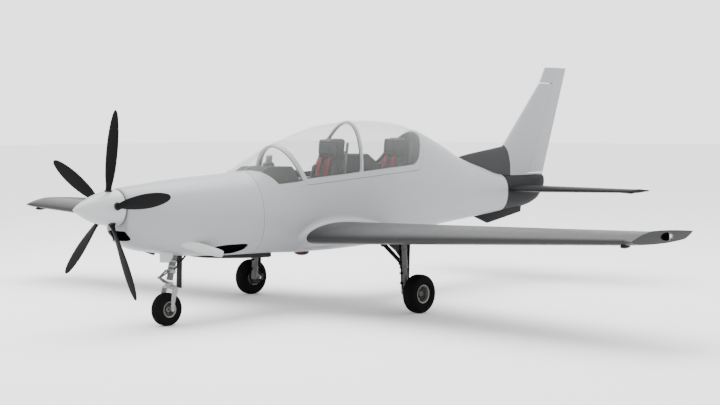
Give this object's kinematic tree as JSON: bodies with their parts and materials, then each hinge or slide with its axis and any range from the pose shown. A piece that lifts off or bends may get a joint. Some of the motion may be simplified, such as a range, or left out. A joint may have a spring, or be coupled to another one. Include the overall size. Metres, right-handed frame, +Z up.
{
  "type": "turboprop trainer aircraft",
  "caption": "Tandem-seat turboprop trainer aircraft on its landing gear, with propeller, side-hinged canopy, control surfaces, steerable nose wheel and rolling wheels.",
  "frame": {"origin": "on the floor under the middle of the aircraft's box, on its centre plane", "axes": "+X towards the tail, +Y towards the right wing tip, +Z up"},
  "size_m": [9.373, 10.6, 3.15],
  "materials": {
    "light_shell": "satin light grey paint on a composite skin",
    "spinner_paint": "satin light grey paint",
    "wing_paint": "satin dark grey paint on a composite skin",
    "dark_shell": "satin dark grey paint",
    "exhaust_metal": "light grey heat-proof paint",
    "engine_metal": "cast",
    "clear_acrylic": "clear",
    "cockpit_plastic": "matt dark grey",
    "coaming_trim": "matt olive grey trim",
    "seat_trim": "olive grey cloth and trim on a shell",
    "gear_metal": "painted steel and bare piston",
    "rim_metal": "machined",
    "tyre": "rubber",
    "blade_composite": "satin black"
  },
  "bodies": {
    "airframe": {"cowling": "light_shell", "fuselage": "light_shell", "windshield_frame": "light_shell", "vertical_fin": "light_shell", "nose_bay_door_left": "light_shell", "nose_bay_door_right": "light_shell", "exhaust_stack_left": "exhaust_metal", "exhaust_stack_right": "exhaust_metal", "tail_cone": "dark_shell", "dorsal_fillet": "dark_shell", "ventral_strake": "dark_shell", "belly_keel": "dark_shell", "belly_beacon": "dark_shell", "stabilizer_left": "dark_shell", "stabilizer_right": "dark_shell", "wing_left": "wing_paint", "wing_right": "wing_paint", "wing_tip_left": "wing_paint", "wing_tip_right": "wing_paint", "engine_block": "engine_metal", "windshield_glass": "clear_acrylic", "cockpit_floor": "cockpit_plastic", "rear_bulkhead": "cockpit_plastic", "side_console_left": "cockpit_plastic", "side_console_right": "cockpit_plastic", "head_up_display": "cockpit_plastic", "front_coaming": "coaming_trim", "rear_coaming": "coaming_trim", "front_seat": "seat_trim", "rear_seat": "seat_trim", "canopy_hinge_pin_front": "gear_metal", "canopy_hinge_pin_rear": "gear_metal", "nose_leg": "gear_metal", "main_leg_left": "gear_metal", "main_leg_right": "gear_metal", "nose_leg_door": "dark_shell", "main_leg_door_left": "dark_shell", "main_leg_door_right": "dark_shell"},
    "propeller": {"spinner": "spinner_paint", "blade_1": "blade_composite", "blade_2": "blade_composite", "blade_3": "blade_composite", "blade_4": "blade_composite", "blade_5": "blade_composite"},
    "canopy": {"canopy_frame": "light_shell", "canopy_glass_front": "clear_acrylic", "canopy_glass_rear": "clear_acrylic"},
    "nose_steering": {"nose_fork": "gear_metal"},
    "nose_wheel": {"nose_wheel_tyre": "tyre", "nose_wheel_rim": "rim_metal"},
    "main_wheel_left": {"main_wheel_left_tyre": "tyre", "main_wheel_left_rim": "rim_metal"},
    "main_wheel_right": {"main_wheel_right_tyre": "tyre", "main_wheel_right_rim": "rim_metal"},
    "rudder": {"rudder": "light_shell"},
    "elevator": {"elevator": "dark_shell"},
    "aileron_left": {"aileron_left": "wing_paint"},
    "aileron_right": {"aileron_right": "wing_paint"},
    "flap_left": {"flap_left": "wing_paint"},
    "flap_right": {"flap_right": "wing_paint"}
  },
  "joints": [
    {"name": "propeller_spin", "type": "hinge", "parent": "airframe", "child": "propeller", "pos_m": [-4.226, 0, 1.3845], "axis": [1, 0, 0], "continuous": true},
    {"name": "canopy_hinge", "type": "hinge", "parent": "airframe", "child": "canopy", "pos_m": [-1.176, 0.45865, 1.5935], "axis": [-0.9982, 0.0097, -0.0589], "range_deg": [0, 78]},
    {"name": "nose_steer", "type": "hinge", "parent": "airframe", "child": "nose_steering", "pos_m": [-3.34895, 0, 0.5], "axis": [0.2289, 0, 0.9735], "range_deg": [-35, 35]},
    {"name": "nose_wheel_spin", "type": "hinge", "parent": "nose_steering", "child": "nose_wheel", "pos_m": [-3.3925, 0, 0.19], "axis": [0, 1, 0], "continuous": true},
    {"name": "main_wheel_left_spin", "type": "hinge", "parent": "airframe", "child": "main_wheel_left", "pos_m": [-0.659, -1.4814, 0.2359], "axis": [0, 1, 0], "continuous": true},
    {"name": "main_wheel_right_spin", "type": "hinge", "parent": "airframe", "child": "main_wheel_right", "pos_m": [-0.659, 1.4814, 0.2359], "axis": [0, 1, 0], "continuous": true},
    {"name": "rudder_hinge", "type": "hinge", "parent": "airframe", "child": "rudder", "pos_m": [3.64688, 0, 1.562], "axis": [0.4393, 0, 0.8983], "range_deg": [-25, 25]},
    {"name": "elevator_hinge", "type": "hinge", "parent": "airframe", "child": "elevator", "pos_m": [3.654, 0, 1.335], "axis": [0, 1, 0], "range_deg": [-25, 18]},
    {"name": "aileron_left_hinge", "type": "hinge", "parent": "airframe", "child": "aileron_left", "pos_m": [-0.63585, -2.8, 1.04302], "axis": [-0.1218, -0.9917, 0.0422], "range_deg": [-18, 18]},
    {"name": "aileron_right_hinge", "type": "hinge", "parent": "airframe", "child": "aileron_right", "pos_m": [-0.63585, 2.8, 1.04302], "axis": [-0.1218, 0.9917, 0.0422], "range_deg": [-18, 18]},
    {"name": "flap_left_hinge", "type": "hinge", "parent": "airframe", "child": "flap_left", "pos_m": [-0.3681, -0.62, 0.95203], "axis": [0.1218, 0.9917, -0.0414], "range_deg": [0, 35]},
    {"name": "flap_right_hinge", "type": "hinge", "parent": "airframe", "child": "flap_right", "pos_m": [-0.3681, 0.62, 0.95203], "axis": [-0.1218, 0.9917, 0.0414], "range_deg": [0, 35]}
  ],
  "couplings": [
    {"joint": "aileron_right_hinge", "follows": "aileron_left_hinge", "ratio": 1},
    {"joint": "flap_right_hinge", "follows": "flap_left_hinge", "ratio": 1}
  ]
}
